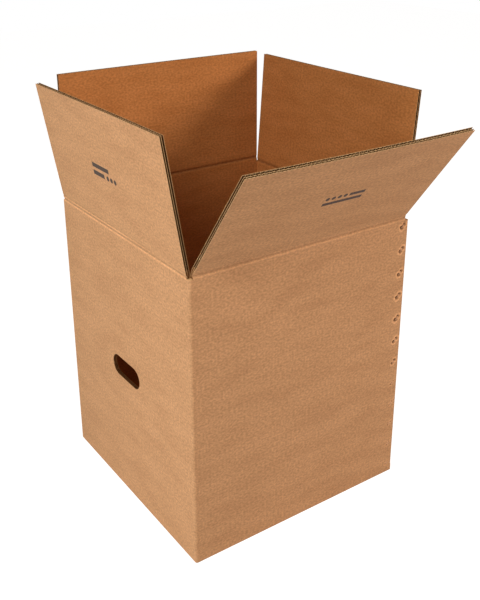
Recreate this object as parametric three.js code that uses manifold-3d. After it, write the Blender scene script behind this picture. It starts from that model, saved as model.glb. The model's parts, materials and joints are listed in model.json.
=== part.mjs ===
// A removal carton of double-wall corrugated board, standing open with its top flaps leaning out.
// Millimetres, +Z up. The origin is the middle of the underside. The end panels with the hand holes
// face -X (left) and +X (right), and the stitched front panel faces -Y.
import * as THREE from 'three';
import { mergeVertices } from 'three/addons/utils/BufferGeometryUtils.js';
import Module from 'manifold-3d';

const wasm = await Module();
wasm.setup();

// Board and box, measured outside.
const BOARD = 7;
const BOX_WIDTH = 457;
const BOX_DEPTH = 457;
const END_FOLD_HEIGHT = 537;
const CORNER_OUTER_RADIUS = 4;
const CORNER_INNER_RADIUS = 1;
const BOTTOM_EDGE_RADIUS = 2.5;

// Gaps between the folded parts of the one sheet.
const STACK_GAP = 0.5;
const LAP_GAP = 0.3;
const FOLD_GAP = 0.5;
const FLAP_SIDE_GAP = 0.5;
const SEAM_GAP = 1;

// How far each top flap leans out from upright.
const LEFT_LEAN_DEGREES = 9.6;
const RIGHT_LEAN_DEGREES = 4.5;
const FRONT_LEAN_DEGREES = 36.1;
const BACK_LEAN_DEGREES = 0;

// Hand holes, rounded at both ends, in the two end panels.
const HAND_HOLE_LENGTH = 100;
const HAND_HOLE_HEIGHT = 40;
const HAND_HOLE_CENTRE_HEIGHT = 270;

// Joint tab, which runs from the right panel in behind the front panel.
const TAB_WIDTH = 38;
const TAB_END_CLEARANCE = 1.5;
const TAB_END_SLOPE_DEGREES = 15;

// Wire stitches through the front panel and the tab.
const STITCH_COUNT = 12;
const FIRST_STITCH_HEIGHT = 22.7;
const LAST_STITCH_BELOW_FOLD = 11.6;
const STITCH_FROM_EDGE = 12.3;
const STITCH_SLANT_DEGREES = 45;
const CROWN_LENGTH = 8.5;
const CLINCH_LENGTH = 3;
const WIRE_THICKNESS = 0.7;
const WIRE_WIDTH = 2;
const WIRE_GAP = 0.3;

// Packing tape let into the board under the bottom seam.
const TAPE_WIDTH = 50;
const TAPE_THICKNESS = 0.25;
const TAPE_END_INSET = 12;
const TAPE_EDGE_GAP = 0.5;

// How far a cutting solid reaches past what it cuts.
const OVERCUT = 2;

const KRAFT_OUTSIDE = 0xba8c60;
const KRAFT_FLAP = 0xb5875c;
const STITCH_WIRE = 0xa98258;
const TAPE_FILM = 0x9a6f45;

// Sizes that follow from the ones above.
const HALF_WIDTH = BOX_WIDTH / 2;
const HALF_DEPTH = BOX_DEPTH / 2;
const SIDE_FOLD_HEIGHT = END_FOLD_HEIGHT + BOARD + STACK_GAP;
const FLAP_INSET = BOARD + FLAP_SIDE_GAP;
const INNER_FLAP_BOTTOM = BOARD + LAP_GAP;
const TAB_FACE = BOARD + LAP_GAP;
const STITCHED_LENGTH = END_FOLD_HEIGHT - LAST_STITCH_BELOW_FOLD - FIRST_STITCH_HEIGHT;
const STITCH_PITCH = STITCHED_LENGTH / (STITCH_COUNT - 1);

// The four sides. turn is about Z and carries the front side's frame to each of them: X along the
// crease, Y into the box. reach is the outer face's distance from the middle of the box.
const SIDES = {
  front: { turn: 0, reach: HALF_DEPTH, half: HALF_WIDTH, fold: SIDE_FOLD_HEIGHT, lean: FRONT_LEAN_DEGREES },
  right: { turn: 90, reach: HALF_WIDTH, half: HALF_DEPTH, fold: END_FOLD_HEIGHT, lean: RIGHT_LEAN_DEGREES },
  back: { turn: 180, reach: HALF_DEPTH, half: HALF_WIDTH, fold: SIDE_FOLD_HEIGHT, lean: BACK_LEAN_DEGREES },
  left: { turn: 270, reach: HALF_WIDTH, half: HALF_DEPTH, fold: END_FOLD_HEIGHT, lean: LEFT_LEAN_DEGREES },
};

const radians = THREE.MathUtils.degToRad;

// A flap reaches from its side of the box to the seam in the middle, where it meets its opposite.
const flapLength = (side) => side.reach - SEAM_GAP / 2;

function toSolid(geometry) {
  const bare = geometry.clone();
  bare.deleteAttribute('normal');
  bare.deleteAttribute('uv');
  const merged = mergeVertices(bare, 1e-5);
  return new wasm.Manifold(new wasm.Mesh({
    numProp: 3,
    vertProperties: new Float32Array(merged.attributes.position.array),
    triVerts: new Uint32Array(merged.index.array),
  }));
}

function toGeometry(solid) {
  const mesh = solid.getMesh();
  const geometry = new THREE.BufferGeometry();
  geometry.setAttribute('position', new THREE.BufferAttribute(mesh.vertProperties, 3));
  geometry.setIndex(new THREE.BufferAttribute(mesh.triVerts, 1));
  geometry.computeVertexNormals();
  return geometry;
}

// A closed outline from corners [x, y, radius]. A corner with no radius stays sharp.
function roundedShape(corners) {
  const shape = new THREE.Shape();
  corners.forEach(([x, y, radius = 0], i) => {
    const corner = new THREE.Vector2(x, y);
    const before = new THREE.Vector2(...corners.at(i - 1));
    const after = new THREE.Vector2(...corners[(i + 1) % corners.length]);
    const from = corner.clone().add(before.sub(corner).setLength(radius));
    const to = corner.clone().add(after.sub(corner).setLength(radius));
    if (i === 0) shape.moveTo(from.x, from.y);
    else shape.lineTo(from.x, from.y);
    if (radius > 0) shape.quadraticCurveTo(x, y, to.x, to.y);
  });
  shape.closePath();
  return shape;
}

function extrude(shape, depth, curveSegments = 5) {
  return new THREE.ExtrudeGeometry(shape, { depth, curveSegments, bevelEnabled: false });
}

// A prism along X, centred on it, whose section is drawn in the Y-Z plane.
function prismAlongX(shape, length) {
  const geometry = extrude(shape, length);
  const axes = [new THREE.Vector3(0, 1, 0), new THREE.Vector3(0, 0, 1), new THREE.Vector3(1, 0, 0)];
  geometry.applyMatrix4(new THREE.Matrix4().makeBasis(...axes));
  return geometry.translate(-length / 2, 0, 0);
}

// A box from its low and high corners.
function block(low, high) {
  const size = high.map((value, i) => value - low[i]);
  const geometry = new THREE.BoxGeometry(...size);
  return geometry.translate(...low.map((value, i) => value + size[i] / 2));
}

// Moves a geometry from a side's own frame, with its origin at the foot of the outer face.
function placeOnSide(geometry, side) {
  const turn = new THREE.Matrix4().makeRotationZ(radians(side.turn));
  return geometry.translate(0, -side.reach, 0).applyMatrix4(turn);
}

// The walls in plan: one strip of board folded round four corners, from the raw edge of the front
// panel to the end of the tab behind it.
function wallOutline() {
  const [hx, hy] = [HALF_WIDTH, HALF_DEPTH];
  const outer = CORNER_OUTER_RADIUS;
  const inner = CORNER_INNER_RADIUS;
  return roundedShape([
    [hx, -hy],
    [hx, -hy + BOARD],
    [-hx + BOARD, -hy + BOARD, inner],
    [-hx + BOARD, hy - BOARD, inner],
    [hx - BOARD, hy - BOARD, inner],
    [hx - BOARD, -hy + TAB_FACE + BOARD, inner],
    [hx - TAB_WIDTH, -hy + TAB_FACE + BOARD],
    [hx - TAB_WIDTH, -hy + TAB_FACE],
    [hx, -hy + TAB_FACE, outer],
    [hx, hy, outer],
    [-hx, hy, outer],
    [-hx, -hy, outer],
  ].reverse());
}

// Cuts one wall down to its crease, with the top mitred from the outer face down to the inner one,
// so that the flap can fold square over it.
function creaseCutter(side) {
  const top = SIDE_FOLD_HEIGHT + OVERCUT;
  const tip = side.fold - FOLD_GAP / 2;
  const section = roundedShape([
    [-OVERCUT, tip + OVERCUT],
    [BOARD + OVERCUT, tip - BOARD - OVERCUT],
    [BOARD + OVERCUT, top],
    [-OVERCUT, top],
  ]);
  return placeOnSide(prismAlongX(section, 2 * (side.half - BOARD)), side);
}

// Rounds the fold along the foot of one wall.
function footCutter(side) {
  const radius = BOTTOM_EDGE_RADIUS;
  const section = new THREE.Shape();
  section.moveTo(-OVERCUT, -OVERCUT);
  section.lineTo(radius, -OVERCUT);
  section.lineTo(radius, 0);
  section.quadraticCurveTo(0, 0, 0, radius);
  section.lineTo(-OVERCUT, radius);
  section.closePath();
  return placeOnSide(prismAlongX(section, 2 * side.half + 2 * OVERCUT), side);
}

// A bottom flap, from inside its wall to the seam in the middle of the box.
function bottomFlap(side, height) {
  const low = [-side.half + FLAP_INSET, BOARD / 2, height];
  const high = [side.half - FLAP_INSET, flapLength(side), height + BOARD];
  return placeOnSide(block(low, high), side);
}

// Trims the tab's top and bottom ends, sloped so that it slips in behind the front panel.
function tabEndCutters() {
  const run = TAB_WIDTH - BOARD + OVERCUT;
  const drop = run * Math.tan(radians(TAB_END_SLOPE_DEGREES));
  const inside = HALF_WIDTH - BOARD;
  const top = END_FOLD_HEIGHT - BOARD - TAB_END_CLEARANCE;
  const bottom = INNER_FLAP_BOTTOM + BOARD + TAB_END_CLEARANCE;
  const upper = roundedShape([
    [inside, top],
    [inside, SIDE_FOLD_HEIGHT + OVERCUT],
    [inside - run, SIDE_FOLD_HEIGHT + OVERCUT],
    [inside - run, top - drop],
  ]);
  const lower = roundedShape([
    [inside, bottom],
    [inside - run, bottom + drop],
    [inside - run, -OVERCUT],
    [inside, -OVERCUT],
  ]);
  const front = -HALF_DEPTH + BOARD + LAP_GAP / 2;
  return [upper, lower].map((shape) => {
    const geometry = extrude(shape, BOARD + LAP_GAP + OVERCUT);
    return geometry.rotateX(Math.PI / 2).translate(0, front + BOARD + LAP_GAP + OVERCUT, 0);
  });
}

// One long rounded bar through both end panels, which leaves the two hand holes.
function handHoleCutter() {
  const [long, high] = [HAND_HOLE_LENGTH / 2, HAND_HOLE_HEIGHT / 2];
  const shape = new THREE.Shape();
  shape.absarc(long - high, 0, high, -Math.PI / 2, Math.PI / 2);
  shape.absarc(high - long, 0, high, Math.PI / 2, 1.5 * Math.PI);
  const bar = extrude(shape, BOX_WIDTH + 2 * OVERCUT, 12);
  const axes = [new THREE.Vector3(0, 1, 0), new THREE.Vector3(0, 0, 1), new THREE.Vector3(1, 0, 0)];
  bar.applyMatrix4(new THREE.Matrix4().makeBasis(...axes));
  return bar.translate(-HALF_WIDTH - OVERCUT, 0, HAND_HOLE_CENTRE_HEIGHT);
}

function stitchPlaces() {
  const x = HALF_WIDTH - STITCH_FROM_EDGE;
  const heights = Array.from({ length: STITCH_COUNT }, (_, i) => FIRST_STITCH_HEIGHT + i * STITCH_PITCH);
  return heights.map((z) => new THREE.Vector3(x, -HALF_DEPTH, z));
}

// The two holes that a stitch's legs go through, turned to the stitch's slant.
function legHoles(place) {
  const across = WIRE_THICKNESS / 2 + WIRE_GAP;
  const along = WIRE_WIDTH / 2 + WIRE_GAP;
  const depth = 2 * BOARD + LAP_GAP + OVERCUT;
  return [-1, 1].map((end) => {
    const leg = end * (CROWN_LENGTH - WIRE_THICKNESS) / 2;
    const hole = block([leg - across, -OVERCUT, -along], [leg + across, depth, along]);
    return hole.rotateY(-radians(STITCH_SLANT_DEGREES)).translate(...place.toArray());
  });
}

// The strip under the bottom seam that the tape lies in.
function tapeRecess() {
  const long = HALF_WIDTH - TAPE_END_INSET + TAPE_EDGE_GAP;
  const wide = TAPE_WIDTH / 2 + TAPE_EDGE_GAP;
  return block([-long, -wide, -OVERCUT], [long, wide, TAPE_THICKNESS]);
}

function boxBody() {
  const { front, right, back, left } = SIDES;
  const joined = [
    bottomFlap(front, 0),
    bottomFlap(back, 0),
    bottomFlap(left, INNER_FLAP_BOTTOM),
    bottomFlap(right, INNER_FLAP_BOTTOM),
  ];
  const cut = [
    ...Object.values(SIDES).flatMap((side) => [creaseCutter(side), footCutter(side)]),
    ...tabEndCutters(),
    handHoleCutter(),
    tapeRecess(),
    ...stitchPlaces().flatMap(legHoles),
  ];
  let solid = toSolid(extrude(wallOutline(), SIDE_FOLD_HEIGHT));
  for (const geometry of joined) solid = solid.add(toSolid(geometry));
  for (const geometry of cut) solid = solid.subtract(toSolid(geometry));
  return toGeometry(solid);
}

// A top flap standing upright on its crease, with its crease at the origin along X and its inner
// face towards +Y. The bottom is mitred to match the wall below.
function topFlap(side) {
  const tip = FOLD_GAP / 2;
  const section = roundedShape([
    [0, tip],
    [BOARD, tip + BOARD],
    [BOARD, flapLength(side)],
    [0, flapLength(side)],
  ]);
  return prismAlongX(section, 2 * (side.half - FLAP_INSET));
}

// A flat wire stitch seen along its width: a crown outside, two legs and their clinched ends. X is
// along the crown, Y into the board from its outer face.
function stitch() {
  const half = CROWN_LENGTH / 2;
  const wire = WIRE_THICKNESS;
  const crown = -WIRE_GAP;
  const clinch = 2 * BOARD + LAP_GAP + WIRE_GAP;
  const turn = half - CLINCH_LENGTH;
  const outline = roundedShape([
    [-half, crown - wire, wire],
    [half, crown - wire, wire],
    [half, clinch + wire, wire],
    [turn, clinch + wire],
    [turn, clinch],
    [half - wire, clinch],
    [half - wire, crown],
    [-half + wire, crown],
    [-half + wire, clinch],
    [-turn, clinch],
    [-turn, clinch + wire],
    [-half, clinch + wire, wire],
  ]);
  return extrude(outline, WIRE_WIDTH, 3).translate(0, 0, -WIRE_WIDTH / 2);
}

function tape() {
  const long = HALF_WIDTH - TAPE_END_INSET;
  return block([-long, -TAPE_WIDTH / 2, 0], [long, TAPE_WIDTH / 2, TAPE_THICKNESS]);
}

function part(name, geometry, color, roughness, metalness = 0) {
  const mesh = new THREE.Mesh(geometry, new THREE.MeshStandardMaterial({ color, roughness, metalness }));
  mesh.name = name;
  return mesh;
}

const group = new THREE.Group();
group.add(part('box_body', boxBody(), KRAFT_OUTSIDE, 0.85));
group.add(part('bottom_tape', tape(), TAPE_FILM, 0.35));

for (const [name, side] of Object.entries(SIDES)) {
  const turned = new THREE.Group();
  turned.rotation.z = radians(side.turn);
  const flap = part(`${name}_top_flap`, topFlap(side), KRAFT_FLAP, 0.85);
  flap.position.set(0, -side.reach, side.fold);
  flap.rotation.x = radians(side.lean);
  turned.add(flap);
  group.add(turned);
}

stitchPlaces().forEach((place, i) => {
  const name = `stitch_${String(i + 1).padStart(2, '0')}`;
  const wire = part(name, stitch(), STITCH_WIRE, 0.4, 0.8);
  wire.position.copy(place);
  wire.rotation.y = -radians(STITCH_SLANT_DEGREES);
  group.add(wire);
});

export default group;
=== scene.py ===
# %% [markdown]
# # A removal carton of double-wall corrugated board
# The carton is one creased and slotted sheet, folded round four corners and stitched with wire. In
# these cells the sheet is built as real board: three flat papers, called liners, with two waved
# papers, called fluting, between them. The CAD model is a fixed frame, so each piece takes its place
# and its hinge from there.

# %% Load the frame
import json
import math

import bpy
import numpy as np
from mathutils import Matrix, Vector


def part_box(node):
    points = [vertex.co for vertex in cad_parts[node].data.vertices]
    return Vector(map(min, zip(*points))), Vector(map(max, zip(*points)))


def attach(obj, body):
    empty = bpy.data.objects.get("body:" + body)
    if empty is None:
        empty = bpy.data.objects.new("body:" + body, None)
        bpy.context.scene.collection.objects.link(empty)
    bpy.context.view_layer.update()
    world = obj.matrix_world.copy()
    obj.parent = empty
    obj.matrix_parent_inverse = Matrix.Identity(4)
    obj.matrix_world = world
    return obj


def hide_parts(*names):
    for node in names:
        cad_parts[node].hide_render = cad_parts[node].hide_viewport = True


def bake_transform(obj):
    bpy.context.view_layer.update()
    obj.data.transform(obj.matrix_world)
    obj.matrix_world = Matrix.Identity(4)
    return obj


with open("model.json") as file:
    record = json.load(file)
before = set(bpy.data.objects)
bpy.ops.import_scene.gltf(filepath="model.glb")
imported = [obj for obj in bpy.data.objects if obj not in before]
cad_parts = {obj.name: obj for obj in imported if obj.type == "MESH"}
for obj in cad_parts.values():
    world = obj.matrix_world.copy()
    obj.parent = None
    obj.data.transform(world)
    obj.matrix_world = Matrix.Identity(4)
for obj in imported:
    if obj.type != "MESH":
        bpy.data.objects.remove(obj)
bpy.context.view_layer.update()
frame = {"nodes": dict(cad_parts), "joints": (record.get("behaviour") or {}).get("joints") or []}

# %% [markdown]
# ## Sizes
# Blender works in metres, while cartons are drawn in millimetres, so every size is written in
# millimetres and multiplied by MM. Heavy cartons use BC board: the low B wave lies outside, where it
# makes a smooth face for print, and the high C wave lies inside, where it makes the wall stiff.

# %% Board sizes
MM = 0.001
BOARD = 7 * MM
LINER = 0.45 * MM
FLUTING = 0.28 * MM
B_HEIGHT = 2.35 * MM
C_HEIGHT = 3.3 * MM
B_PITCH = 6.3 * MM
C_PITCH = 7.9 * MM
# The depth of each paper's faces below the outer face of the board.
OUTER_LINER = (0.0, LINER)
B_WAVE = (LINER, LINER + B_HEIGHT)
MIDDLE_LINER = (B_WAVE[1], B_WAVE[1] + LINER)
C_WAVE = (MIDDLE_LINER[1], MIDDLE_LINER[1] + C_HEIGHT)
INNER_LINER = (C_WAVE[1], BOARD)
print(f"liners, B wave and C wave add up to {INNER_LINER[1] / MM:.2f} mm")

# %% [markdown]
# ## The four sides
# Each side has its own frame, as in a carton drawing: u runs along the crease, h up the board and d
# from the outer face into the board. Working in these three numbers keeps every piece flat while it
# is made. A flap is then turned about its crease by the lean that the frame gives.

# %% The sides and their frames
class Side:
    def __init__(self, name, turn, number):
        low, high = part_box("box_body")
        joint = next(j for j in frame["joints"] if j["name"] == f"{name}_flap_crease")
        across = name in ("front", "back")
        self.name = name
        self.number = number
        self.turn = math.radians(turn)
        self.reach = high.y if across else high.x
        self.half = high.x if across else high.y
        self.fold = joint["pos_m"][2]
        # A flap's range starts where it lies flat on the carton, a quarter turn and the lean away.
        self.lean = math.radians(-90 - joint["range_deg"][0])
        self.flap_length = self.reach - SEAM_GAP / 2

    def to_world(self, x, y, z):
        """Points from the front side's frame, with y = 0 on the outer face, to this side."""
        y = y - self.reach
        c, s = math.cos(self.turn), math.sin(self.turn)
        return np.stack([c * x - s * y, s * x + c * y, z], axis=-1)

    def wall(self, u, h, d):
        return self.to_world(u, d, h)

    def unfolded(self, points):
        """The flat board position of points on this side's wall, as the patterns read it."""
        c, s = math.cos(self.turn), math.sin(self.turn)
        x, y, z = points.T
        return np.stack([c * x + s * y + self.number * 2 * self.half, z, c * y - s * x + self.reach], axis=-1)

    def flap(self, u, h, d, share=1.0):
        """h is measured from the crease, and share is how much of the lean a point takes."""
        c, s = np.cos(self.lean * share), np.sin(self.lean * share)
        return self.to_world(u, d * c - h * s, self.fold + d * s + h * c)

    def floor(self, u, h, d, height=0.0):
        """A bottom flap: h runs into the carton and d upwards."""
        return self.to_world(u, h, height + d)


SEAM_GAP = 1 * MM
SLOT_INSET = 7.5 * MM
turns = {"front": 0, "right": 90, "back": 180, "left": 270}
SIDES = {name: Side(name, turn, i) for i, (name, turn) in enumerate(turns.items())}
for side in SIDES.values():
    print(f"{side.name}: fold at {side.fold / MM:.1f} mm, lean {math.degrees(side.lean):.1f} degrees")

# %% [markdown]
# ## Colours and nodes
# Colours are picked as sRGB hex values, but the renderer adds light in linear values, so one
# function turns them. A second small function adds a node, its settings and its links in one call.
# The others build on it: a sum, a change of range, a ramp between colours and the main shader.

# %% Colour and node helpers
def linear(hex_colour):
    values = [int(hex_colour[i:i + 2], 16) / 255 for i in (1, 3, 5)]
    lit = [v / 12.92 if v <= 0.04045 else ((v + 0.055) / 1.055) ** 2.4 for v in values]
    return (*lit, 1.0)


def add(tree, kind, inputs=None, **settings):
    node = tree.nodes.new(kind)
    for name, value in settings.items():
        setattr(node, name, value)
    for socket, value in (inputs or {}).items():
        if isinstance(value, bpy.types.NodeSocket):
            tree.links.new(value, node.inputs[socket])
        else:
            node.inputs[socket].default_value = value
    return node


def maths(tree, operation, *values):
    """One sum with numbers or node outputs."""
    return add(tree, "ShaderNodeMath", dict(enumerate(values)), operation=operation).outputs[0]


def mapped(tree, value, low, high, to_low, to_high):
    """Turns the range from low to high into the range from to_low to to_high."""
    ends = {"Value": value, 1: low, 2: high, 3: to_low, 4: to_high}
    return add(tree, "ShaderNodeMapRange", ends).outputs[0]


def ramp(tree, value, *stops):
    """Colours along a value. Each stop is a position and an sRGB hex colour, in rising order."""
    node = add(tree, "ShaderNodeValToRGB", {"Fac": value})
    elements = node.color_ramp.elements
    for i, (position, colour) in ((0, stops[0]), (1, stops[-1])):
        elements[i].position, elements[i].color = position, linear(colour)
    for position, colour in stops[1:-1]:
        elements.new(position).color = linear(colour)
    return node.outputs["Color"]


def new_material(name):
    material = bpy.data.materials.new(name)
    material.use_nodes = True
    material.node_tree.nodes.clear()
    return material, material.node_tree


def principled(tree, look, height=None, strength=1.0, distance=MM):
    """The main shader and the output. A height adds bumps, distance high in metres."""
    if height is not None:
        bump = add(tree, "ShaderNodeBump", {"Height": height, "Strength": strength, "Distance": distance})
        look = {**look, "Normal": bump.outputs[0]}
    shader = add(tree, "ShaderNodeBsdfPrincipled", look)
    add(tree, "ShaderNodeOutputMaterial", {"Surface": shader.outputs[0]})


print("kraft paper in linear values:", [round(v, 3) for v in linear("#C29468")[:3]])

# %% [markdown]
# ## Kraft liner
# The faces are kraftliner, unbleached softwood paper. Its long brown fibres lie mostly along the
# paper machine, which is across the flutes, and it is matt with hardly any sheen. Real liner is about
# a third of a millimetre thick, and it is drawn somewhat thicker here, so that its cut edge shows.
# Three things show on its face: fine dark and light fibres, soft blotches where the sheet is denser,
# and the washboard lines where the paper is glued to the crests of the waves. Every piece carries its
# flat board position in an attribute called sheet, in metres, and the patterns read that, so that
# they run on from a wall over the crease into its flap. The depth in sheet also paints shade into
# dents and creases, and a highlight onto ridges.

# %% Kraft liner material
# Fibres are 3 mm by 0.03 mm. Finer than 3 mm doesn't show from here, so the clumps are drawn.
FIBRE = (5.0 * MM, 3.4 * MM)
BLOTCH = (75 * MM, 24 * MM)
WAVE_STREAK = (90 * MM, 12 * MM)
WASHBOARD_HEIGHT_MM = 0.05
STREAK_HEIGHT_MM = 0.12
FIBRE_HEIGHT_MM = 0.03
# How deep a dent is fully darkened with painted shade, and its tone there.
DENT_DARK, DENT_SHADE_TONE = 3.0 * MM, 0.30
# How high a ridge is painted fully pale as a highlight, and its tone there.
RIDGE_PALE, RIDGE_HIGHLIGHT_TONE = 0.4 * MM, 1.38


def sheet_place(tree):
    """Where a point lies on the flat board, in metres."""
    return add(tree, "ShaderNodeAttribute", attribute_name="sheet").outputs["Vector"]


def noise_at(tree, place, size, detail=2.0, offset=0.0):
    """Smooth noise whose blobs are about size across, in the board's own frame."""
    scale = (1 / size[0], 1 / size[1], 1 / BOARD)
    scaled = add(tree, "ShaderNodeVectorMath", {0: place, 1: scale}, operation="MULTIPLY")
    moved = add(tree, "ShaderNodeVectorMath", {0: scaled.outputs[0], 1: (offset,) * 3})
    noise = add(tree, "ShaderNodeTexNoise", {"Vector": moved.outputs[0], "Scale": 1.0, "Detail": detail})
    return noise.outputs["Fac"]


def kraft_liner(name, light, mean, dark, pitch, faces_out, streak=1.0):
    """pitch is that of the wave under this paper, and streak how far the long streaks stand out."""
    material, tree = new_material(name)
    place = sheet_place(tree)
    fibres = noise_at(tree, place, FIBRE, detail=3.0)
    blotches = noise_at(tree, place, BLOTCH, offset=7.3)
    streaks = noise_at(tree, place, WAVE_STREAK, detail=1.0, offset=3.1)
    # The washboard lines follow the crests of the wave, and show more on some stretches of board.
    parts = add(tree, "ShaderNodeSeparateXYZ", {0: place})
    turn = maths(tree, "MULTIPLY", parts.outputs["X"], 2 * math.pi / pitch)
    presence = mapped(tree, blotches, 0.40, 0.62, 0.25, 1.0)
    lines = maths(tree, "MULTIPLY", maths(tree, "SINE", turn), presence)

    tone = ramp(tree, blotches, (0.30, dark), (0.5, mean), (0.72, light))
    fibre_tone = mapped(tree, fibres, 0.32, 0.68, 0.80, 1.18)
    line_tone = mapped(tree, lines, -1.0, 1.0, 0.975, 1.02)
    grain = maths(tree, "MULTIPLY", fibre_tone, line_tone)
    # Painted shade darkens sunk paper and a painted highlight pales raised paper; the plain face lies at 0 or
    # BOARD deep.
    deep, plain = (parts.outputs["Z"], 0.0) if faces_out else (BOARD, parts.outputs["Z"])
    sunk = maths(tree, "SUBTRACT", deep, plain)
    dent = mapped(tree, sunk, 0.0, DENT_DARK, 1.0, DENT_SHADE_TONE)
    ridge = mapped(tree, sunk, -RIDGE_PALE, 0.0, RIDGE_HIGHLIGHT_TONE, 1.0)
    grain_painted_shade_and_highlight = maths(tree, "MULTIPLY", grain, maths(tree, "MULTIPLY", dent, ridge))
    colour = add(tree, "ShaderNodeVectorMath", {0: tone, "Scale": grain_painted_shade_and_highlight}, operation="SCALE")

    height = maths(tree, "MULTIPLY", lines, WASHBOARD_HEIGHT_MM / 2)
    height = maths(tree, "MULTIPLY_ADD", streaks, STREAK_HEIGHT_MM * streak, height)
    height = maths(tree, "MULTIPLY_ADD", fibres, FIBRE_HEIGHT_MM, height)
    principled(tree, {"Base Color": colour.outputs[0], "Roughness": 0.82, "IOR": 1.5,
                      "Specular IOR Level": 0.25}, height)
    print("made material", name)
    return material


KRAFT_OUTSIDE = kraft_liner("kraft_liner_outside", "#C8996F", "#C3956B", "#BD8F66", B_PITCH, True)
# The inside liner is the same kraft. Its deeper orange is partly painted shade and bounce light from inside
# the carton.
KRAFT_INSIDE = kraft_liner("kraft_liner_inside", "#C4834A", "#BE7E45", "#B87840", C_PITCH, False,
                           streak=0.6)

# %% [markdown]
# ## Fluting paper and cut edges
# The waved paper is recycled fluting, darker and rougher than the liner. Its dark brown is partly its
# own colour and partly painted shade for the channels between the liners. Where a knife has cut the
# board, the torn ends of the fibres catch the light: a cut edge is coloured paler than either face,
# partly as its own pale fibres and partly as a painted highlight.

# %% Fluting and cut edge materials
EDGE_FIBRE = (1.4 * MM, 1.4 * MM)


def torn_paper(name, light, dark):
    material, tree = new_material(name)
    fibres = noise_at(tree, sheet_place(tree), EDGE_FIBRE, detail=3.0)
    tone = ramp(tree, fibres, (0.35, dark), (0.65, light))
    principled(tree, {"Base Color": tone, "Roughness": 0.9, "IOR": 1.5, "Specular IOR Level": 0.2},
               fibres, 0.6, 0.1 * MM)
    print("made material", name)
    return material


# The fluting's dark brown is partly painted shade for the channels between the liners.
FLUTING_PAPER = torn_paper("fluting_paper", "#7A4E2A", "#5A3719")
# The cut edge's paleness is partly a painted highlight.
CUT_EDGE = torn_paper("cut_board_edge", "#F2CF9C", "#DDB27A")
BOARD_MATERIALS = [KRAFT_OUTSIDE, KRAFT_INSIDE, FLUTING_PAPER, CUT_EDGE]
OUTSIDE, INSIDE, WAVE, CUT = range(4)

# %% [markdown]
# ## Slabs of paper
# Every paper in the board is a thin slab, flat or waved, over a grid of columns and rows. Modifiers
# such as Array and Solidify could draw a wave too, but numbers in arrays let the same slab be dented,
# creased or warped later. A slab has two or more surfaces, outermost first, and closed edges.

# %% Slab and piece helpers
# Faces that meet at more than this show as an edge.
SHARP_ANGLE = math.radians(40)


def slab(u, h, surfaces, outside, inside, edges):
    """A closed slab. u, h and each surface's depth are arrays of columns by rows."""
    columns, rows = u.shape
    layers = len(surfaces)
    points = np.stack([np.stack([u, h, d + 0 * u], axis=-1) for d in surfaces])
    index = np.arange(layers * columns * rows).reshape(layers, columns, rows)
    quads, paints = [], []

    def keep(a, b, c, d, paint):
        quads.append(np.stack([a, b, c, d], axis=-1).reshape(-1, 4))
        paints.append(np.full(len(quads[-1]), paint))

    outer, inner = index[0], index[-1]
    keep(outer[:-1, :-1], outer[1:, :-1], outer[1:, 1:], outer[:-1, 1:], outside)
    keep(inner[:-1, :-1], inner[:-1, 1:], inner[1:, 1:], inner[1:, :-1], inside)
    for near, far, paint in zip(index[:-1], index[1:], edges):
        keep(near[:-1, 0], far[:-1, 0], far[1:, 0], near[1:, 0], paint)
        keep(near[:-1, -1], near[1:, -1], far[1:, -1], far[:-1, -1], paint)
        keep(near[0, :-1], near[0, 1:], far[0, 1:], far[0, :-1], paint)
        keep(near[-1, :-1], far[-1, :-1], far[-1, 1:], near[-1, 1:], paint)
    return points.reshape(-1, 3), np.concatenate(quads), np.concatenate(paints)


def placed(parts, place, side):
    """Puts slabs in the world, and keeps their flat board position for the patterns."""
    done = []
    for points, faces, paints in parts:
        u, h, d = points.T
        sheet = points + np.array([side.number * 2 * side.half, 0, 0])
        done.append((place(u, h, d), sheet, faces, paints))
    return done


def linked(name, data):
    """A new object in the scene."""
    made = bpy.data.objects.new(name, data)
    bpy.context.scene.collection.objects.link(made)
    return made


def keep_sheet(mesh, sheet):
    """Stores the flat board position that the patterns read."""
    mesh.attributes.new("sheet", "FLOAT_VECTOR", "POINT").data.foreach_set("vector", sheet.ravel())


def paper_object(name, points, faces, paints, sheet, materials=None):
    """paints holds the number of each face's material."""
    mesh = bpy.data.meshes.new(name)
    mesh.from_pydata(points.tolist(), [], faces)
    for material in materials or BOARD_MATERIALS:
        mesh.materials.append(material)
    mesh.polygons.foreach_set("material_index", paints)
    mesh.shade_smooth()
    mesh.set_sharp_from_angle(angle=SHARP_ANGLE)
    keep_sheet(mesh, sheet)
    return linked(name, mesh)


def board_piece(name, parts, body, materials=None):
    """One object from closed parts, riding on a body of the frame."""
    start, points, sheets, faces, paints = 0, [], [], [], []
    for world, sheet, quads, paint in parts:
        used, renumbered = np.unique(quads, return_inverse=True)
        points.append(world[used])
        sheets.append(sheet[used])
        faces += (renumbered.reshape(quads.shape) + start).tolist()
        paints.append(paint)
        start += len(used)
    paints = np.concatenate(paints).astype(np.int32)
    piece = paper_object(name, np.concatenate(points), faces, paints, np.concatenate(sheets), materials)
    if body:
        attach(piece, body)
    print(f"{name}: {len(faces)} faces on {body}")
    return piece


print("helpers are ready")

# %% [markdown]
# ## Corrugated board
# A liner needs few columns, and a wave needs eight for each crest to look round where the knife has
# cut across it. The waves are sines between the liners that they are glued to.

# %% Corrugated board
COLUMNS_A_WAVE = 8
LINER_COLUMNS = 24


def grid(columns, rows):
    """u and h arrays. rows is a list of heights, or a function that gives them for each column."""
    if callable(rows):
        h = np.stack([rows(column) for column in columns])
    else:
        h = np.tile(np.asarray(rows, float), (len(columns), 1))
    return np.tile(np.asarray(columns, float)[:, None], (1, h.shape[1])), h


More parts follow.
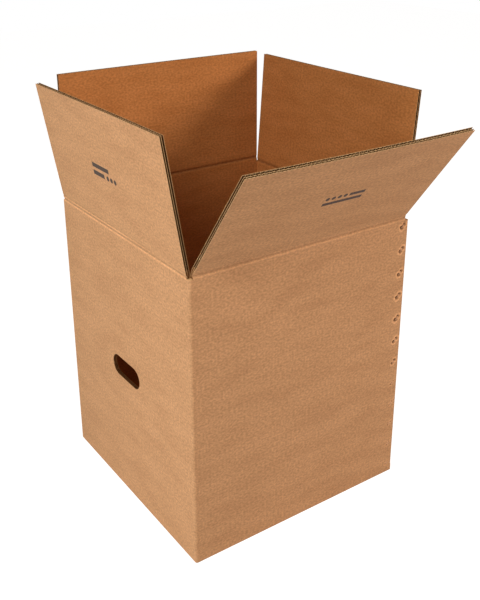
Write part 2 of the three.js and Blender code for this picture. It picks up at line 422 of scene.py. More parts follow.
def waved(columns, rows, band, pitch):
    u, h = grid(columns, rows)
    middle, swing = (band[0] + band[1]) / 2, (band[1] - band[0] - FLUTING) / 2
    phase = 2 * math.pi * u / pitch
    steepness = swing * 2 * math.pi / pitch * np.cos(phase)
    centre = middle - swing * np.sin(phase)
    half_thick = FLUTING / 2 * np.sqrt(1 + steepness ** 2)
    return slab(u, h, [centre - half_thick, centre + half_thick], WAVE, WAVE, [CUT])


def wave_columns(low, high, pitch):
    count = max(2, round((high - low) / pitch * COLUMNS_A_WAVE) + 1)
    return np.linspace(low, high, count)


def corrugated(low, high, rows, liner_columns=LINER_COLUMNS, open_sides=0.0):
    """The papers of a piece of board between two columns, low and high."""
    u, h = grid(np.linspace(low, high, liner_columns), rows)
    liners = [(OUTER_LINER, OUTSIDE, WAVE), (MIDDLE_LINER, WAVE, WAVE), (INNER_LINER, WAVE, INSIDE)]
    parts = [slab(u, h, list(band), outer, inner, [CUT]) for band, outer, inner in liners]
    for band, pitch in ((B_WAVE, B_PITCH), (C_WAVE, C_PITCH)):
        columns = wave_columns(low + open_sides, high - open_sides, pitch)
        parts.append(waved(columns, rows, band, pitch))
    return parts


print("a 442 mm flap has", round(442 * MM / C_PITCH), "C waves")

# %% [markdown]
# ## Wall panels
# Between its creases a panel is plain corrugated board with upright flutes, which carry the stacking
# load. The panel stops short of the creases at its top and foot, because crushed board is made there
# as pieces of its own.

# %% Wall panels
CREASE_BELOW = 11 * MM
CREASE_ABOVE = 12 * MM
FOOT_HEIGHT = 16 * MM
STITCH_STRIP = 30 * MM
TAB_WIDTH = 38 * MM
TAB_FACE = 7.3 * MM
WALL_ROWS = 5


def panel_rows(side):
    return np.linspace(FOOT_HEIGHT, side.fold - CREASE_BELOW, WALL_ROWS)


panels = {}
for side in SIDES.values():
    low, high = -side.half + BOARD, side.half - BOARD
    if side.name == "front":
        high = side.half - STITCH_STRIP
    if side.name == "right":
        low = -side.half + TAB_FACE + BOARD
    parts = placed(corrugated(low, high, panel_rows(side)), side.wall, side)
    panels[side.name] = board_piece(f"{side.name}_panel", parts, "box")
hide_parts("box_body")

# %% [markdown]
# The hand holes are cut through the finished board with a boolean. The punch is a bar with round
# ends, and both ends of the carton are punched at the same height. The edge of the hole takes the
# dark fluting paint as painted shade, so it is plain and brown, unlike the pale edge that a knife leaves.

# %% Hand holes
HAND_HOLE_LENGTH = 100 * MM
HAND_HOLE_HEIGHT = 40 * MM
HAND_HOLE_MIDDLE = 270 * MM
PUNCH_STEPS = 16


def punch_outline():
    """The rounded outline as (u, h) points, counter-clockwise from the right end's foot."""
    radius, straight = HAND_HOLE_HEIGHT / 2, (HAND_HOLE_LENGTH - HAND_HOLE_HEIGHT) / 2
    angles = np.linspace(-math.pi / 2, math.pi / 2, PUNCH_STEPS + 1)
    right = [(straight + radius * math.cos(a), radius * math.sin(a)) for a in angles]
    return np.array(right + [(-x, -y) for x, y in right])


def punched(piece, side):
    outline = punch_outline()
    count = len(outline)
    u, h = np.tile(outline[:, 0], 2), np.tile(outline[:, 1] + HAND_HOLE_MIDDLE, 2)
    d = np.repeat([-BOARD, 2 * BOARD], count)
    mesh = bpy.data.meshes.new("punch")
    sides = [(i, (i + 1) % count, count + (i + 1) % count, count + i) for i in range(count)]
    caps = [tuple(reversed(range(count))), tuple(range(count, 2 * count))]
    mesh.from_pydata(side.wall(u, h, d).tolist(), [], [tuple(reversed(f)) for f in sides + caps])
    for material in BOARD_MATERIALS:
        mesh.materials.append(material)
    # The punch's faces take the dark fluting paint, as painted shade on the edge of the hole.
    mesh.polygons.foreach_set("material_index", [WAVE] * len(mesh.polygons))
    punch = linked("punch", mesh)
    cut = piece.modifiers.new("hand_hole", "BOOLEAN")
    cut.operation, cut.object, cut.solver, cut.material_mode = "DIFFERENCE", punch, "EXACT", "INDEX"
    bpy.context.view_layer.update()
    done = bpy.data.meshes.new_from_object(piece.evaluated_get(bpy.context.evaluated_depsgraph_get()))
    piece.modifiers.clear()
    piece.data = done
    done.name = piece.name
    # The cut makes new points, so the flat board position is read back from where they are.
    points = np.empty(len(done.vertices) * 3)
    done.vertices.foreach_get("co", points)
    sheet = side.unfolded(points.reshape(-1, 3))
    if "sheet" in done.attributes:
        done.attributes.remove(done.attributes["sheet"])
    keep_sheet(done, sheet)
    bpy.data.objects.remove(punch)
    print(f"{piece.name}: {len(done.polygons)} faces after the punch")


for name in ("left", "right"):
    punched(panels[name], SIDES[name])

# %% [markdown]
# ## The stitched edge
# The sheet's two ends meet at the front right corner. The front panel ends there in a raw knife cut,
# a tab from the right panel lies behind it, and twelve wire stitches hold the two together. The
# stitching head presses each wire into the board, so both of its legs sit in a dent with a raised
# rim. The dents are modelled in a fine grid, because from a step away they are what shows of a stitch.

# %% Stitch places
STITCH_NODES = [name for name in sorted(frame["nodes"]) if name.startswith("stitch_")]
STITCH_SLANT = math.radians(45)
LEG_REACH = 3.9 * MM
LOWER_DENT, UPPER_DENT = 4.4 * MM, 2.6 * MM
DENT_RADIUS = 2.1 * MM
RIM_HEIGHT, RIM_RADIUS, RIM_WIDTH = 0.6 * MM, 4.4 * MM, 1.4 * MM
# The head pressed the upper stitches hard and the lower ones lightly, and eased off between.
PRESS_HEIGHTS, PRESS = (200 * MM, 280 * MM), (0.6, 1.25)
# A harder press widens the dent, which can't go deeper than the crushed board.
DEEPEST_PRESS = 1.1
STITCH_SEED = 12
EDGE_ROLL = 0.9 * MM
EDGE_ROLL_WIDTH = 2.2 * MM


def stitch_place(node):
    low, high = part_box(node)
    return (low.x + high.x) / 2, (low.z + high.z) / 2


def stitch_dents(u, h):
    """How far the stitches press the outer liner in. Each one is a little different."""
    rng = np.random.default_rng(STITCH_SEED)
    depth = np.zeros_like(u)
    for node in STITCH_NODES:
        x, z = stitch_place(node)
        for sign, deep in ((-1, LOWER_DENT), (1, UPPER_DENT)):
            shift = rng.uniform(-0.4, 0.4, 2) * MM
            push = rng.uniform(0.9, 1.1) * np.interp(z, PRESS_HEIGHTS, PRESS)
            leg = (x + sign * LEG_REACH * math.cos(STITCH_SLANT) + shift[0],
                   z + sign * LEG_REACH * math.sin(STITCH_SLANT) + shift[1])
            r = np.hypot(u - leg[0], h - leg[1]) / push
            depth += min(push, DEEPEST_PRESS) * deep * np.exp(-(r / DENT_RADIUS) ** 2)
            depth -= push * RIM_HEIGHT * np.exp(-((r - RIM_RADIUS) / RIM_WIDTH) ** 2)
    return depth


def rolled_edge(u, half):
    """The knife rounds the raw edge over by a fraction of the board's thickness."""
    t = np.clip((u - (half - EDGE_ROLL_WIDTH)) / EDGE_ROLL_WIDTH, 0, 1)
    return EDGE_ROLL * t ** 2


print(len(STITCH_NODES), "stitches")

# %% [markdown]
# The strip under the stitches has no B wave where the dents reach, as the real one is crushed flat
# there. Beyond the dents the wave runs on, and the raw edge shows it.

# %% Stitched strip and tab
FINE_STEP = 0.9 * MM
# How far in from the raw edge the waves run, and how far they stop short of the liners' cut ends.
RAW_END = 3.5 * MM
B_SHORT, C_SHORT = 0.3 * MM, 0.2 * MM
front = SIDES["front"]
strip_low, strip_high = front.half - STITCH_STRIP, front.half
raw_low = strip_high - RAW_END
strip_rows = panel_rows(front)
strip_height = front.fold - CREASE_BELOW - FOOT_HEIGHT
fine_u, fine_h = grid(np.linspace(strip_low, strip_high, round(STITCH_STRIP / FINE_STEP) + 1),
                      np.linspace(FOOT_HEIGHT, front.fold - CREASE_BELOW,
                                  round(strip_height / FINE_STEP) + 1))
# This liner's depth also paints the dents and the rolled edge darker as shade, and the rims paler as a
# highlight.
face = stitch_dents(fine_u, fine_h) + rolled_edge(fine_u, front.half)
strip = [slab(fine_u, fine_h, [face, face + LINER], OUTSIDE, WAVE, [CUT])]
coarse_u, coarse_h = grid([strip_low, strip_high], strip_rows)
strip.append(slab(coarse_u, coarse_h, list(INNER_LINER), WAVE, INSIDE, [CUT]))
b_columns = wave_columns(raw_low, strip_high - B_SHORT, B_PITCH / 2)
strip.append(waved(b_columns, strip_rows, (B_WAVE[0] + EDGE_ROLL, B_WAVE[1]), B_PITCH))
edge_u, edge_h = grid([raw_low, strip_high], strip_rows)
strip.append(slab(edge_u, edge_h, list(MIDDLE_LINER), WAVE, WAVE, [CUT]))
c_columns = wave_columns(raw_low, strip_high - C_SHORT, C_PITCH / 2)
strip.append(waved(c_columns, strip_rows, C_WAVE, C_PITCH))
board_piece("stitched_strip", placed(strip, front.wall, front), "box")

TAB_CLEARANCE = 1.5 * MM
TAB_SLOPE = math.tan(math.radians(15))
tab_low, tab_high = front.half - TAB_WIDTH, front.half - BOARD
tab_foot = TAB_FACE + BOARD + TAB_CLEARANCE
tab_top = SIDES["left"].fold - BOARD - TAB_CLEARANCE


def tab_rows(u):
    drop = (tab_high - u) * TAB_SLOPE
    return np.linspace(tab_foot + drop, tab_top - drop, WALL_ROWS)


tab = corrugated(tab_low, tab_high, tab_rows, liner_columns=4)
board_piece("joint_tab", placed(tab, lambda u, h, d: front.wall(u, h, d + TAB_FACE), front), "box")

# %% [markdown]
# ## Corners and feet
# Where the sheet is folded round a corner, the creasing wheel has crushed the flutes, and the outer
# liner runs over the fold in a small round. Each corner is a solid post, lofted from rings of points
# that draw in at the foot. The foot of every wall rounds into its bottom flap in the same way.

# %% Corner posts and feet
CORNER_RADIUS = 4 * MM
FOOT_RADIUS = 2.5 * MM
POST_TOP = 535.5 * MM
POST_BEVEL = 0.5 * MM
ARC_STEPS = 8
FOOT_COLUMNS = 12
# The stub at the top of the raw end is rounded by this share of the edge below it.
STUB_ROLL = 0.3


def foot_draw(h):
    """How far the outer face draws in at height h above the underside."""
    rise = np.clip(FOOT_RADIUS - np.asarray(h, float), 0, FOOT_RADIUS)
    return FOOT_RADIUS - np.sqrt(FOOT_RADIUS ** 2 - rise ** 2)


def post(corner, inward):
    """corner is the outer corner in plan, inward the signs of the way into the carton."""
    upper = [60 * MM, POST_TOP - 2 * MM, POST_TOP - 0.6 * MM, POST_TOP]
    heights = np.concatenate([np.linspace(0, FOOT_RADIUS, 5), upper])
    angles = np.linspace(0, math.pi / 2, ARC_STEPS + 1)
    rings, sheets = [], []
    for h in heights:
        draw = float(foot_draw(h)) + (POST_BEVEL if h == POST_TOP else 0)
        radius = CORNER_RADIUS
        arc = [(draw + radius - radius * math.cos(a), draw + radius - radius * math.sin(a)) for a in angles]
        ring = [(draw, BOARD), *arc, (BOARD, draw), (BOARD, BOARD)]
        rings += [(corner[0] + inward[0] * x, corner[1] + inward[1] * y, h) for x, y in ring]
        sheets += [(x - y, h, 0) for x, y in ring]
    count = len(ring)
    faces, paints = [], []
    for level in range(len(heights) - 1):
        for i in range(count):
            a, b = level * count + i, level * count + (i + 1) % count
            faces.append([a, b, b + count, a + count])
            paints.append(OUTSIDE if i < count - 2 else WAVE)
    hub = [len(rings), len(rings) + 1]
    for h in (heights[0], heights[-1]):
        rings.append((corner[0] + inward[0] * BOARD * 0.7, corner[1] + inward[1] * BOARD * 0.7, h))
        sheets.append((0, h, 0))
    last = (len(heights) - 1) * count
    caps = [[hub[0], (i + 1) % count, i] for i in range(count)]
    caps += [[hub[1], last + i, last + (i + 1) % count] for i in range(count)]
    return np.array(rings), np.array(sheets), faces + caps, paints + [CUT] * len(caps)


def post_piece(name, corner, inward):
    rings, sheets, faces, paints = post(corner, inward)
    # At every second corner the rings run the other way round, so the faces are turned over.
    if inward[0] * inward[1] > 0:
        faces = [face[::-1] for face in faces]
    piece = paper_object(name, rings, faces, paints, sheets)
    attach(piece, "box")


half_x, half_y = SIDES["front"].half, SIDES["right"].half
post_piece("front_left_corner", (-half_x, -half_y), (1, 1))
post_piece("back_left_corner", (-half_x, half_y), (1, -1))
post_piece("back_right_corner", (half_x, half_y), (-1, -1))
post_piece("front_right_corner", (half_x, -half_y + TAB_FACE), (-1, 1))

FOOT_ROWS = np.concatenate([np.linspace(0, FOOT_RADIUS, 6), [9 * MM, FOOT_HEIGHT]])
BOARD_LAYERS = [0, LINER, B_WAVE[1], MIDDLE_LINER[1], C_WAVE[1], BOARD]
LAYER_PAINTS = [CUT, WAVE, CUT, WAVE, CUT]
for side in SIDES.values():
    low = -side.half + (TAB_FACE + BOARD if side.name == "right" else BOARD)
    high = side.half - (0 if side.name == "front" else BOARD)
    u, h = grid(np.linspace(low, high, FOOT_COLUMNS), FOOT_ROWS)
    draw = foot_draw(h)
    # The draw is kept as depth, so the rounded foot is painted darker as shade.
    surfaces = [draw + (1 - draw / BOARD) * depth for depth in BOARD_LAYERS]
    parts = [slab(u, h, surfaces, OUTSIDE, INSIDE, LAYER_PAINTS)]
    if side.name == "front":
        # The raw end of the front panel stands past the crease, as high as the slots are cut.
        u, h = grid([side.half - BOARD, side.half - 2 * MM, side.half],
                    [side.fold - CREASE_BELOW, POST_TOP])
        surfaces = [depth + 0 * u for depth in BOARD_LAYERS]
        # The roll is kept as depth, so the stub's edge is painted darker as shade.
        surfaces[0] = surfaces[0] + rolled_edge(u, side.half) * STUB_ROLL
        parts.append(slab(u, h, surfaces, OUTSIDE, INSIDE, LAYER_PAINTS))
    board_piece(f"{side.name}_foot", placed(parts, side.wall, side), "box")

# %% [markdown]
# ## Bottom flaps
# The four bottom flaps are shut. The end flaps lie inside and the front and back flaps cover them, so
# the bottom is two boards thick. Seen through the open top, the end flaps' seam crosses the floor. The
# tape presses the outer flaps in along their seam, so that it lies flush with the board.

# %% Bottom flaps
INNER_FLAP_HEIGHT = 7.3 * MM
# Towards the seam the board slopes in over one ramp, and a second one lies between it and the tape.
TAPE_RAMP = 0.5 * MM
TAPE_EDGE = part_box("bottom_tape")[1].y
TAPE_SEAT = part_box("bottom_tape")[1].z + 0.1 * MM


def on_floor(side, u, h, d, outer):
    """Places a bottom flap. The outer ones are pressed in under the tape."""
    under_tape = np.clip((TAPE_EDGE + 2 * TAPE_RAMP - (side.reach - h)) / TAPE_RAMP, 0, 1) * outer
    pressed = d + TAPE_SEAT * under_tape * (1 - d / BOARD)
    return side.floor(-u, h, pressed, 0.0 if outer else INNER_FLAP_HEIGHT)


for side in SIDES.values():
    reach = side.half - SLOT_INSET
    outer = side.name in ("front", "back")
    rows = [BOARD, 80 * MM, 155 * MM]
    if outer:
        rows += [side.reach - TAPE_EDGE - 2 * TAPE_RAMP, side.reach - TAPE_EDGE - TAPE_RAMP]
    parts = corrugated(-reach, reach, [*rows, side.flap_length])
    parts = placed(parts, lambda u, h, d: on_floor(side, u, h, d, outer), side)
    board_piece(f"{side.name}_bottom_flap", parts, "box")

# %% [markdown]
# ## Top flaps
# The top flaps are the same board as the walls. Nothing holds them flat, so each one is warped by a
# millimetre or so, as damp and handling leave it. The warp starts from nothing at the crease.

# %% Top flaps
FLAP_ROWS = 9
# The knife cuts between two crests, which leaves a dark channel along each side edge.
OPEN_CHANNEL = 3.5 * MM
# How many millimetres the two free corners and the middle of the free edge warp inwards. Shut, the
# front and back flaps lie half a millimetre above the end flaps, so they warp outwards only and the
# end ones inwards.
WARPS = {"front": (0.0, -1.0, -1.5), "right": (0.0, 1.0, 1.5),
         "back": (-0.5, -1.0, -1.5), "left": (0.5, 0.0, 1.5)}


def warp_of(side):
    low_end, high_end, middle = (value * MM for value in WARPS[side.name])

    def warp(u, h):
        across = np.clip((u / side.half + 1) / 2, 0, 1)
        up = np.clip((h - CREASE_ABOVE) / (side.flap_length - CREASE_ABOVE), 0, 1)
        tip = low_end * (1 - across) + high_end * across + middle * 4 * across * (1 - across)
        return tip * up ** 2

    return warp


def on_warped_flap(side):
    """The flap's own placing, with every point moved through the board by the warp."""
    warp = warp_of(side)
    return lambda u, h, d: side.flap(u, h, d + warp(u, h))


for side in SIDES.values():
    reach = side.half - SLOT_INSET
    rows = np.linspace(CREASE_ABOVE, side.flap_length, FLAP_ROWS)
    parts = corrugated(-reach, reach, rows, open_sides=OPEN_CHANNEL)
    parts = placed(parts, on_warped_flap(side), side)
    flap = board_piece(f"{side.name}_flap_board", parts, f"{side.name}_flap")
    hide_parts(f"{side.name}_top_flap")

# %% [markdown]
# ## Marks in ink
# Cartons are printed with one dark, watery ink that soaks into the paper, and where the board is
# ribbed it misses the troughs. Plain bars and dots stand in for print here. Each mark is a film thinner
# than a liner that follows its warped flap.

# %% Ink marks
INK_ABOVE, INK_BELOW = 0.05 * MM, 0.03 * MM
INK_PATCH = (2.4 * MM, 1.5 * MM)
BAR_COLUMNS, DOT_ROWS = 12, 9


def carton_ink():
    material, tree = new_material("water_based_carton_ink")
    soaked = noise_at(tree, sheet_place(tree), INK_PATCH, detail=4.0)
    tone = ramp(tree, soaked, (0.38, "#23150C"), (0.72, "#4A3020"))
    principled(tree, {"Base Color": tone, "Roughness": 0.7, "IOR": 1.5}, soaked, 0.5, 0.05 * MM)
    return material


def film(u, h):
    return slab(u * MM, h * MM, [-INK_ABOVE, INK_BELOW], 0, 0, [0])


def bar(u, h, width, height):
    columns = np.linspace(u - width / 2, u + width / 2, BAR_COLUMNS)
    return film(*grid(columns, [h - height / 2, h + height / 2]))


def dot(u, h, radius):
    """A square grid pressed into a disc."""
    x, y = grid(np.linspace(-1, 1, DOT_ROWS), np.linspace(-1, 1, DOT_ROWS))
    return film(u + radius * x * np.sqrt(1 - y * y / 2), h + radius * y * np.sqrt(1 - x * x / 2))


# Sizes in millimetres: middle across the flap, middle above the crease, then width and height.
MARKS = {
    "left": [bar(-14, 119, 60, 8), bar(-24, 105, 40, 8), *(dot(8 + 13 * i, 105, 4.5) for i in range(3))],
    "front": [*(dot(-25 + 12 * i, 124, 4) for i in range(4)), bar(35, 124, 32, 7), bar(10, 111, 80, 7)],
}
INK = carton_ink()
for name, marks in MARKS.items():
    side = SIDES[name]
    board_piece(f"{name}_ink_marks", placed(marks, on_warped_flap(side), side), f"{name}_flap", [INK])

# %% [markdown]
# ## Top creases
# A crease is a band of crushed board that a wheel has pressed from the inside. The liners stay whole,
# and the fold makes them buckle: the outer liner into one or two fine ridges with a shadow above
# each, the inner one into a shallow channel. Each crease is a solid band, bent once to its flap's
# lean: its rows take a growing share of the lean.

# %% Top creases
ROW_STEP = 0.5 * MM
CREASE_COLUMNS = 96
BEND_REACH = 7 * MM
INNER_CHANNEL_DEPTH = 1.5 * MM
INNER_CHANNEL_WIDTH = 3.0 * MM
# The relief eases out over this much at both edges of the band, so that it meets the plain board.
RELIEF_EASE = 2 * MM
# The blend reaches a little past the last rows that bend.
# A little past the bend's reach. The start and end points made from it are not used.
BLEND_MARGIN = 1.08


def smooth_share(h):
    t = np.clip((h + BEND_REACH) / (2 * BEND_REACH), 0, 1)
    return t * t * (3 - 2 * t)


def hump(h, middle, width):
    return np.exp(-((h - middle) / width) ** 2)


def fade_to(u, start, end):
    t = np.clip((u - start) / (end - start), 0, 1)
    return t * t * (3 - 2 * t)


def outer_relief(side, u, h):
    """Height of the outer liner above the plain face, in metres, at h above the crease axis."""
    if side.name in ("front", "back"):
        # The ridge lies level with the end panels' creases, a board's thickness under the axis.
        return (0.3 * hump(h, -7.6 * MM, 1.7 * MM) - 0.8 * hump(h, -4.0 * MM, 1.3 * MM)) * MM
    # These ridges lie under the front and back flaps when the carton is shut, so they stay low.
    low = 0.4 * hump(h, -1.2 * MM, 2.2 * MM) - 0.8 * hump(h, 2.3 * MM, 1.3 * MM)
    high = 0.4 * hump(h, 6.2 * MM, 1.9 * MM) - 0.6 * hump(h, 9.2 * MM, 1.1 * MM)
    # The upper ridge fades out towards the right end, as seen from outside, and leaves the lower one.
    return (low + high * (1 - fade_to(u, 0, 0.7 * side.half))) * MM


def crease_piece(side):
    count = round((CREASE_BELOW + CREASE_ABOVE) / ROW_STEP) + 1
    rows = np.linspace(-CREASE_BELOW, CREASE_ABOVE, count)
    reach = side.half - BOARD
    low = -side.half + TAB_FACE + BOARD if side.name == "right" else -reach
    u, h = grid(np.linspace(low, reach, CREASE_COLUMNS), rows)
    # Above the slots the band is as narrow as the flap.
    slot_end = side.half - SLOT_INSET
    u = np.where(h > 0, np.clip(u, -slot_end, slot_end), u)
    below = np.clip((h + CREASE_BELOW) / RELIEF_EASE, 0, 1)
    level = below * np.clip((CREASE_ABOVE - h) / RELIEF_EASE, 0, 1)
    # The material paints the troughs and the inner channel darker as shade, and the ridges paler as a
    # highlight, from their depth.
    outer = -outer_relief(side, u, h) * level
    inner = BOARD - INNER_CHANNEL_DEPTH * hump(h, 0.0, INNER_CHANNEL_WIDTH) * level
    surfaces = [outer + (inner - outer) * depth / BOARD for depth in BOARD_LAYERS]
    points, faces, paints = slab(u, h, surfaces, OUTSIDE, INSIDE, LAYER_PAINTS)
    u, h, d = points.T
    sheet = points + [side.number * 2 * side.half, side.fold, 0]
    parts = [(side.flap(u, h, d, smooth_share(h)), sheet, faces, paints)]
    piece = board_piece(f"{side.name}_crease", parts, None)
    half_lean = side.lean / 2
    up = np.array([-math.sin(half_lean), math.cos(half_lean)]) * BEND_REACH * BLEND_MARGIN
    start, end = (side.to_world(0.0, sign * up[0], side.fold + sign * up[1]) for sign in (-1, 1))
    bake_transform(piece)


for side in SIDES.values():
    crease_piece(side)

# %% [markdown]
# ## Stitching wire
# The stitches are flat steel wire with a thin copper wash against rust, 2 mm wide and 0.7 mm thick.
# The copper is dull and brownish, so the wire nearly vanishes against the kraft paper. Each wire is
# swept along the path it really takes: up through both boards, over the face, down again, and
# clinched behind the tab.

# %% Copper-washed wire
def copper_washed_wire():
    material, tree = new_material("copper_washed_steel_wire")
    place = add(tree, "ShaderNodeTexCoord").outputs["Object"]
    drawn = add(tree, "ShaderNodeTexNoise", {"Vector": place, "Scale": 1 / (1.5 * MM), "Detail": 3.0})
    tone = ramp(tree, drawn.outputs["Fac"], (0.0, "#8E6240"), (1.0, "#D3A683"))
    rough = mapped(tree, drawn.outputs["Fac"], 0.0, 1.0, 0.34, 0.52)
    principled(tree, {"Base Color": tone, "Metallic": 1.0, "Roughness": rough})
    return material


WIRE_WIDTH = 2.0 * MM
WIRE_THICKNESS = 0.7 * MM
WIRE_ROUND = 0.2 * MM
WIRE_SHARP_ANGLE = math.radians(60)
CROWN_HALF = LEG_REACH
CROWN_PROUD = 0.45 * MM
CROWN_SUNK = 0.9 * MM
CLINCH_DEPTH = 14.3 * MM + 0.65 * MM
CLINCH_INWARD = 2.6 * MM


def wire_path():
    """(along, depth) points of the middle of the wire in a stitch's own frame."""
    bend = 0.9 * MM
    crown = [(x, CROWN_SUNK - (CROWN_SUNK + CROWN_PROUD) * math.cos(math.pi / 2 * x / CROWN_HALF))
             for x in np.linspace(-CROWN_HALF + bend, CROWN_HALF - bend, 13)]
    right = [(CROWN_HALF - 0.3 * bend, crown[-1][1] + 0.35 * bend), (CROWN_HALF, crown[-1][1] + 1.3 * bend),
             (CROWN_HALF, CLINCH_DEPTH - bend), (CROWN_HALF - 0.3 * bend, CLINCH_DEPTH - 0.3 * bend),
             (CROWN_HALF - bend, CLINCH_DEPTH), (CROWN_HALF - CLINCH_INWARD, CLINCH_DEPTH)]
    return [(-x, d) for x, d in reversed(right)] + crown + right


def swept_wire(name, x, z, material):
    """x and z are the middle of the stitch on the front panel."""
    path = np.array(wire_path())
    ahead = np.gradient(path, axis=0)
    ahead /= np.linalg.norm(ahead, axis=1)[:, None]
    side_way = np.stack([-ahead[:, 1], ahead[:, 0]], axis=-1)
    w, t, r = WIRE_WIDTH / 2, WIRE_THICKNESS / 2, WIRE_ROUND
    section = [(-w, -t + r), (-w + r, -t), (w - r, -t), (w, -t + r),
               (w, t - r), (w - r, t), (-w + r, t), (-w, t - r)]
    c, s = math.cos(STITCH_SLANT), math.sin(STITCH_SLANT)
    points = []
    for centre, across in zip(path, side_way):
        for wide, thick in section:
            along, depth = centre + across * thick
            points.append((x + along * c - wide * s, -front.reach + depth, z + along * s + wide * c))
    count, rings = len(section), len(path)
    faces = []
    for start in range(0, (rings - 1) * count, count):
        for i in range(count):
            a, b = start + i, start + (i + 1) % count
            faces.append((a, b, b + count, a + count))
    faces += [tuple(reversed(range(count))), tuple(range((rings - 1) * count, rings * count))]
    mesh = bpy.data.meshes.new(name)
    mesh.from_pydata(points, [], faces)
    mesh.materials.append(material)
    mesh.shade_smooth()
    mesh.set_sharp_from_angle(angle=WIRE_SHARP_ANGLE)
    piece = linked(name, mesh)
    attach(piece, "box")
    return piece


WIRE = copper_washed_wire()
for node in STITCH_NODES:
    wire = swept_wire(node.replace("stitch", "wire_stitch"), *stitch_place(node), WIRE)
    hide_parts(node)
print("swept", len(STITCH_NODES), "wires")

# %% [markdown]
# ## Packing tape
# The bottom seam is closed with tan polypropylene tape. The film is clear and glossy, and the colour
# sits in the glue behind it, which gives small silvery flecks where air is caught. The CAD strip has
# the right shape already, so it only needs its finish.

# %% Tape material
def polypropylene_tape():
    material, tree = new_material("tan_polypropylene_tape")
    place = add(tree, "ShaderNodeTexCoord").outputs["Object"]
    stretched = add(tree, "ShaderNodeVectorMath", {0: place, 1: (1 / (40 * MM), 1 / (4 * MM), 0.0)},
                    operation="MULTIPLY")
    noise = add(tree, "ShaderNodeTexNoise", {"Vector": stretched.outputs[0], "Scale": 1.0, "Detail": 5.0})
    air = noise.outputs["Fac"]
    tone = ramp(tree, air, (0.35, "#96693C"), (0.72, "#B98D5F"))
    principled(tree, {"Base Color": tone, "Roughness": 0.22, "IOR": 1.49}, air, 0.4, 0.1 * MM)
    return material


tape = frame["nodes"]["bottom_tape"]
tape.data.materials.clear()
tape.data.materials.append(polypropylene_tape())

# %% [markdown]
# ## Studio
# A plain floor and a dim, warm world light the carton. To the camera, and in what shines, both show
# as the white of the photograph's background, and the floor keeps the carton's shadow.

# %% Floor and world
FLOOR_HALF, FLOOR_BELOW = 6.0, 0.3 * MM
FLOOR_GREY, SEEN_GREY, SEEN_GLOW = 0.8, 0.45, 0.90
WORLD_COLOUR, WORLD_STRENGTH = (1.0, 0.96, 0.92, 1), 0.21
WHITE = (1, 1, 1, 1)


def seen_by_camera(tree):
    """1 for rays from the camera and for glossy and see-through ones, 0 for the light on the carton."""
    path = add(tree, "ShaderNodeLightPath").outputs
    direct = maths(tree, "MAXIMUM", path["Is Camera Ray"], path["Is Glossy Ray"])
    return maths(tree, "MAXIMUM", direct, path["Is Transmission Ray"])


floor_mesh = bpy.data.meshes.new("studio_floor")
corners = [(x * FLOOR_HALF, y * FLOOR_HALF, 0) for x, y in ((-1, -1), (1, -1), (1, 1), (-1, 1))]
floor_mesh.from_pydata(corners, [], [(0, 1, 2, 3)])
floor = linked("studio_floor", floor_mesh)
floor.location.z = -FLOOR_BELOW

paper, tree = new_material("studio_paper")
matt = add(tree, "ShaderNodeBsdfDiffuse", {"Color": (FLOOR_GREY,) * 3 + (1,)})
pale = add(tree, "ShaderNodeBsdfDiffuse", {"Color": (SEEN_GREY,) * 3 + (1,)})
glow = add(tree, "ShaderNodeEmission", {"Color": WHITE, "Strength": SEEN_GLOW})
lifted = add(tree, "ShaderNodeAddShader", {0: pale.outputs[0], 1: glow.outputs[0]})
shaders = {0: seen_by_camera(tree), 1: matt.outputs[0], 2: lifted.outputs[0]}
mixed = add(tree, "ShaderNodeMixShader", shaders)
add(tree, "ShaderNodeOutputMaterial", {"Surface": mixed.outputs[0]})
floor_mesh.materials.append(paper)

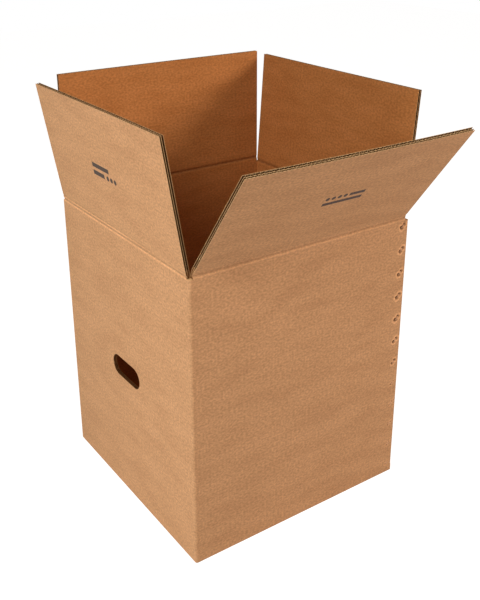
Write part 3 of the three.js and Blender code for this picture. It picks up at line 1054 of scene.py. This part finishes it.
world = bpy.data.worlds.new("studio")
bpy.context.scene.world = world
world.use_nodes = True
tree = world.node_tree
tree.nodes.clear()
dim = add(tree, "ShaderNodeBackground", {"Color": WORLD_COLOUR, "Strength": WORLD_STRENGTH})
white = add(tree, "ShaderNodeBackground", {"Color": WHITE, "Strength": 1.0})
shaders = {0: seen_by_camera(tree), 1: dim.outputs[0], 2: white.outputs[0]}
mixed = add(tree, "ShaderNodeMixShader", shaders)
add(tree, "ShaderNodeOutputWorld", {"Surface": mixed.outputs[0]})
bpy.context.scene.view_settings.view_transform = "Standard"
print("floor and world are ready")

# %% [markdown]
# ## Lamps
# A small lamp stands low beside the left end of the carton and lights it evenly. The front gets a
# warmer one, and a high one on the left reaches the insides of the flaps.

# %% Lamps
def soft_lamp(name, place, target, size, power, colour):
    lamp = bpy.data.lights.new(name, "AREA")
    lamp.shape, lamp.size, lamp.energy, lamp.color = "DISK", size, power, colour
    holder = linked(name, lamp)
    holder.location = place
    holder.rotation_euler = (Vector(place) - Vector(target)).to_track_quat("Z", "Y").to_euler()
    print(f"{name}: {power} W, {size} m across")


soft_lamp("left_lamp", (-1.7, -0.24, 0.15), (0, 0, 0.15), 0.28, 8.5, (1.0, 0.99, 0.96))
soft_lamp("front_lamp", (1.8, -1.8, 1.6), (0, 0, 0.4), 0.9, 39, (1.0, 0.83, 0.72))
soft_lamp("high_left_lamp", (-1.7, -0.9, 1.9), (0, 0, 0.6), 0.8, 26, (1.0, 0.93, 0.86))

# %% [markdown]
# ## Camera
# The camera stands where the edges of the carton converge as they do in the photograph. Its place is
# given by a target, a distance and the angles round it, up from the floor and of its own roll.

# %% Camera
AZIMUTH, ELEVATION, ROLL = (math.radians(a) for a in (-34.72, 21.23, -0.13))
TARGET = Vector((15.4, -10.7, 493.6)) * MM
DISTANCE = 1594.6 * MM
LENS_MM = 51.49
SHIFT_Y = -0.1167

back = Vector((math.sin(AZIMUTH) * math.cos(ELEVATION),
               -math.cos(AZIMUTH) * math.cos(ELEVATION),
               math.sin(ELEVATION)))
right = Vector((math.cos(AZIMUTH), math.sin(AZIMUTH), 0))
up = back.cross(right)
turned = Matrix.Rotation(ROLL, 3, back)
axes = Matrix((turned @ right, turned @ up, back)).transposed()
camera_data = bpy.data.cameras.new("photo_camera")
camera_data.lens, camera_data.shift_y = LENS_MM, SHIFT_Y
camera = linked("photo_camera", camera_data)
camera.matrix_world = Matrix.Translation(TARGET + back * DISTANCE) @ axes.to_4x4()
bpy.context.scene.camera = camera
print("camera at", [round(v, 3) for v in camera.location])
